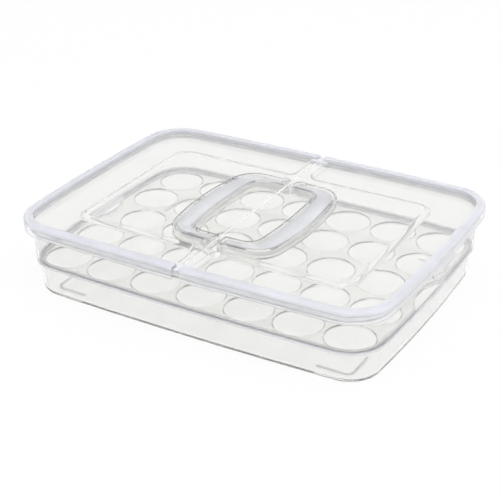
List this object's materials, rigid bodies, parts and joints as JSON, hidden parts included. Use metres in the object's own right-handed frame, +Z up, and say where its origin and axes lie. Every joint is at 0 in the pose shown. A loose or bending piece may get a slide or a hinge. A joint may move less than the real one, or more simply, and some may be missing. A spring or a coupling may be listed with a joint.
{
  "type": "egg keeper with flip lid",
  "caption": "Shallow clear keeper with a stepped tub, a lift-out egg tray, a lid whose two halves flip up on a centre hinge, and two handles that fold flush",
  "frame": {"origin": "under the middle of the keeper, in the plane of its feet", "axes": "X along the length, to the right in the picture; Y across, to the back; Z up"},
  "size_m": [0.3492, 0.2534, 0.0707],
  "materials": {
    "tub_plastic": "clear, glossy, faintly milky",
    "tray_plastic": "clear, glossy, faintly milky",
    "lid_plastic": "clear, glossy, faintly milky",
    "bail_plastic": "clear, glossy, with a faint blue-grey tint"
  },
  "bodies": {
    "tub": {"base_tub": "tub_plastic"},
    "tray": {"egg_tray": "tray_plastic"},
    "spine": {"hinge_web": "lid_plastic"},
    "lid_left": {"lid_half_left": "lid_plastic"},
    "lid_right": {"lid_half_right": "lid_plastic"},
    "bail_left": {"carry_bail_left": "bail_plastic"},
    "bail_right": {"carry_bail_right": "bail_plastic"}
  },
  "joints": [
    {"name": "tray_lift", "type": "slide", "parent": "tub", "child": "tray", "axis": [0, 0, 1], "range_m": [0, 0.025]},
    {"name": "lid_lift", "type": "slide", "parent": "tub", "child": "spine", "axis": [0, 0, 1], "range_m": [0, 0.06]},
    {"name": "lid_left_flip", "type": "hinge", "parent": "spine", "child": "lid_left", "pos_m": [0, 0, 0.06767], "axis": [0, 1, 0], "range_deg": [0, 90]},
    {"name": "lid_right_flip", "type": "hinge", "parent": "spine", "child": "lid_right", "pos_m": [0, 0, 0.06767], "axis": [0, 1, 0], "range_deg": [-90, 0]},
    {"name": "handle_left_raise", "type": "hinge", "parent": "lid_left", "child": "bail_left", "pos_m": [-0.0086, 0, 0.06377], "axis": [0, 1, 0], "range_deg": [0, 90]},
    {"name": "handle_right_raise", "type": "hinge", "parent": "lid_right", "child": "bail_right", "pos_m": [0.0086, 0, 0.06377], "axis": [0, 1, 0], "range_deg": [-90, 0]}
  ]
}
